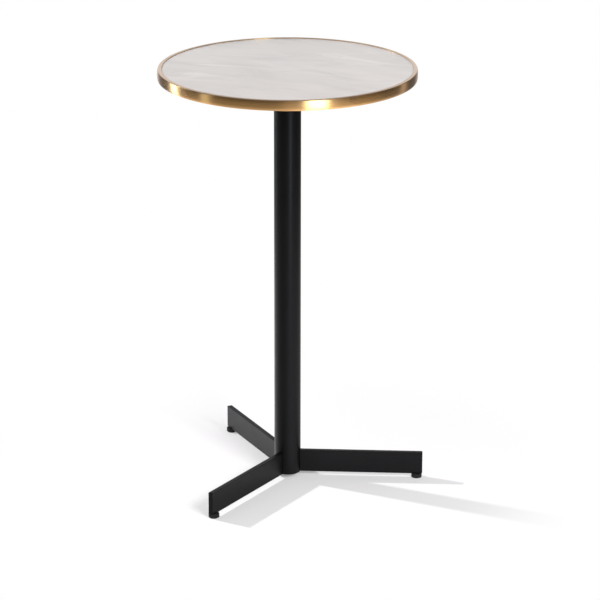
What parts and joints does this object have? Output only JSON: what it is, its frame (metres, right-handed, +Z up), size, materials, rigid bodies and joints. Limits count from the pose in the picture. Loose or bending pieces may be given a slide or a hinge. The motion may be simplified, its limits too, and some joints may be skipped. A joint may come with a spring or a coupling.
{
  "type": "bar table",
  "caption": "Standing-height round table: stone top in a brass edge band on a black tubular column, with a flat-bar tripod base on screw levelling glides.",
  "frame": {"origin": "on the floor, on the axis of the column, in the plane of the undersides of the glides' soles", "axes": "+Z up along the column's axis; +X along the first leg, which the picture shows on the right"},
  "size_m": [0.6439, 0.618, 1.04],
  "materials": {
    "stone": "honed and lightly polished, faint cloudy veins",
    "brass_band": "brushed and lacquered, satin gloss",
    "board": "plywood stained black",
    "insert_brass": "turned",
    "zinc_steel": "zinc plated",
    "black_coat": "matt black powder coat, fine texture",
    "bare_steel": "machined",
    "black_plastic": "moulded, satin",
    "sole_rubber": "matt"
  },
  "bodies": {
    "table": {"marble_slab": "stone", "brass_rim": "brass_band", "backing_board": "board", "threaded_inserts": "insert_brass", "top_screws": "zinc_steel", "screw_washers": "zinc_steel", "mounting_plate": "black_coat", "column_boss": "bare_steel", "column_tube": "black_coat", "tie_rod": "zinc_steel", "tie_rod_washer": "zinc_steel", "tie_rod_nut": "zinc_steel", "base_hub": "black_coat", "hub_cap": "black_plastic", "hub_welds": "black_coat", "leg_bar_1": "black_coat", "leg_bar_2": "black_coat", "leg_bar_3": "black_coat"},
    "glide_foot_1": {"glide_pad_1": "black_plastic", "glide_sole_1": "sole_rubber"},
    "glide_screw_1": {"glide_stud_1": "zinc_steel", "glide_collar_1": "black_plastic"},
    "glide_foot_2": {"glide_pad_2": "black_plastic", "glide_sole_2": "sole_rubber"},
    "glide_screw_2": {"glide_stud_2": "zinc_steel", "glide_collar_2": "black_plastic"},
    "glide_foot_3": {"glide_pad_3": "black_plastic", "glide_sole_3": "sole_rubber"},
    "glide_screw_3": {"glide_stud_3": "zinc_steel", "glide_collar_3": "black_plastic"}
  },
  "joints": [
    {"name": "glide_lift_1", "type": "slide", "parent": "table", "child": "glide_foot_1", "axis": [0, 0, -1], "range_m": [0, 0.01]},
    {"name": "glide_turn_1", "type": "hinge", "parent": "glide_foot_1", "child": "glide_screw_1", "pos_m": [0.321, 0, 0], "axis": [0, 0, -1], "range_deg": [0, 3600]},
    {"name": "glide_lift_2", "type": "slide", "parent": "table", "child": "glide_foot_2", "axis": [0, 0, -1], "range_m": [0, 0.01]},
    {"name": "glide_turn_2", "type": "hinge", "parent": "glide_foot_2", "child": "glide_screw_2", "pos_m": [-0.1605, 0.27799, 0], "axis": [0, 0, -1], "range_deg": [0, 3600]},
    {"name": "glide_lift_3", "type": "slide", "parent": "table", "child": "glide_foot_3", "axis": [0, 0, -1], "range_m": [0, 0.01]},
    {"name": "glide_turn_3", "type": "hinge", "parent": "glide_foot_3", "child": "glide_screw_3", "pos_m": [-0.1605, -0.27799, 0], "axis": [0, 0, -1], "range_deg": [0, 3600]}
  ],
  "couplings": [
    {"joint": "glide_lift_1", "follows": "glide_turn_1", "m_per_rad": 0.00015915},
    {"joint": "glide_lift_2", "follows": "glide_turn_2", "m_per_rad": 0.00015915},
    {"joint": "glide_lift_3", "follows": "glide_turn_3", "m_per_rad": 0.00015915}
  ]
}
